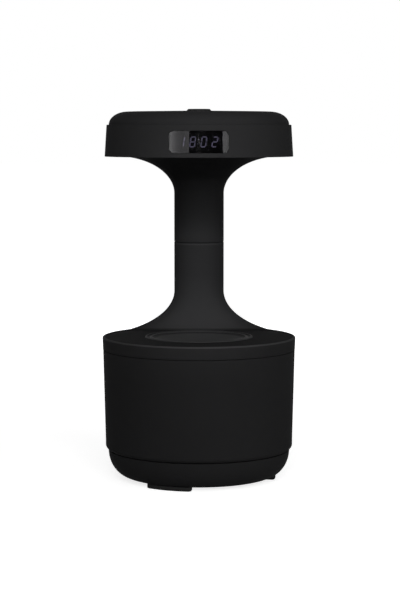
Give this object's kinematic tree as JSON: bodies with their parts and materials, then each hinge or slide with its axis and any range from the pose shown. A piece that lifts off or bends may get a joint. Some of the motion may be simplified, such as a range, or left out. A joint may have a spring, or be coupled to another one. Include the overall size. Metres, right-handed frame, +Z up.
{
  "type": "anti-gravity water-drop humidifier with clock",
  "caption": "Tabletop water-drop humidifier: a round tank with a ringed dish, a flared column at the back and a flat round head with a small digital clock.",
  "frame": {"origin": "on the table, below the middle of the tank", "axes": "+Z up, +X to the right and -Y towards the user, who faces the clock"},
  "size_m": [0.13, 0.13, 0.2488],
  "materials": {
    "shell_black": "matt, fine spark-eroded grain",
    "dish_black": "satin",
    "foot_rubber": "matt",
    "smoked_window": "polished, smoked",
    "led_lit": "glowing",
    "led_dark": "unlit",
    "block_black": "matt",
    "circuit_board": "solder resist",
    "screw_steel": "plated",
    "inner_plastic": "moulded",
    "float_foam": "closed-cell foam",
    "rotor_magnet": "plastic-bonded magnet",
    "winding": "enamelled copper wire",
    "tube_silicone": "clear silicone",
    "wire_jacket": "jacket",
    "sensor_glass": "glass capsule",
    "diffuser": "frosted",
    "light_chip": "light chip",
    "wick_cotton": "pressed cotton"
  },
  "bodies": {
    "main": {"atomiser_cable": "wire_jacket", "atomiser_disc": "screw_steel", "atomiser_seal": "foot_rubber", "base_deck": "shell_black", "board_screws": "screw_steel", "bottom_screws": "screw_steel", "bottom_shell": "shell_black", "button_board": "circuit_board", "button_cable": "wire_jacket", "chimney_seal": "foot_rubber", "coin_cell": "screw_steel", "coin_cell_holder": "inner_plastic", "column_plate": "inner_plastic", "column_screws": "screw_steel", "control_board": "circuit_board", "cup_lid": "inner_plastic", "dark_segments": "led_dark", "deck_gasket": "foot_rubber", "diffuser_ring": "diffuser", "display_block": "block_black", "display_board": "circuit_board", "display_cable": "wire_jacket", "display_window": "smoked_window", "drip_nozzle": "inner_plastic", "float_stop": "inner_plastic", "foot_pads": "foot_rubber", "head_cover": "shell_black", "head_screws": "screw_steel", "head_skirt": "shell_black", "lit_segments": "led_lit", "nozzle_seal": "foot_rubber", "plate_grommets": "foot_rubber", "power_board": "circuit_board", "pump_body": "inner_plastic", "pump_cable": "wire_jacket", "pump_cap": "inner_plastic", "pump_coil": "winding", "pump_cover": "inner_plastic", "pump_feet": "foot_rubber", "pump_shaft": "screw_steel", "reed_sensor": "sensor_glass", "reservoir_cup": "inner_plastic", "sensor_wire": "wire_jacket", "strobe_board": "circuit_board", "strobe_lights": "light_chip", "supply_tube": "tube_silicone", "tact_switches": "screw_steel", "tank": "shell_black", "upper_column": "shell_black", "usb_socket": "screw_steel", "wick": "wick_cotton", "wick_spring": "screw_steel", "wire_harness": "wire_jacket"},
    "dish": {"drip_dish": "dish_black"},
    "mist_outlet": {"mist_ring": "shell_black"},
    "float": {"water_float": "float_foam"},
    "rotor": {"pump_rotor": "rotor_magnet"},
    "mode_button": {"button_mode": "shell_black"},
    "hour_button": {"button_hour": "shell_black"},
    "minute_button": {"button_minute": "shell_black"}
  },
  "joints": [
    {"name": "dish_lift", "type": "slide", "parent": "main", "child": "dish", "axis": [0, 0, 1], "range_m": [0, 0.03]},
    {"name": "mist_outlet_lift", "type": "slide", "parent": "main", "child": "mist_outlet", "axis": [0, 0, 1], "range_m": [0, 0.01]},
    {"name": "mode_press", "type": "slide", "parent": "main", "child": "mode_button", "axis": [0, -1, 0], "range_m": [0, 0.0005], "stiffness_N_per_m": 400},
    {"name": "hour_press", "type": "slide", "parent": "main", "child": "hour_button", "axis": [0, -1, 0], "range_m": [0, 0.0005], "stiffness_N_per_m": 400},
    {"name": "minute_press", "type": "slide", "parent": "main", "child": "minute_button", "axis": [0, -1, 0], "range_m": [0, 0.0005], "stiffness_N_per_m": 400},
    {"name": "float_rise", "type": "slide", "parent": "main", "child": "float", "axis": [0, 0, 1], "range_m": [0, 0.015]},
    {"name": "rotor_spin", "type": "hinge", "parent": "main", "child": "rotor", "pos_m": [0.02, 0.039, 0.042], "axis": [0, 0, 1], "continuous": true}
  ]
}
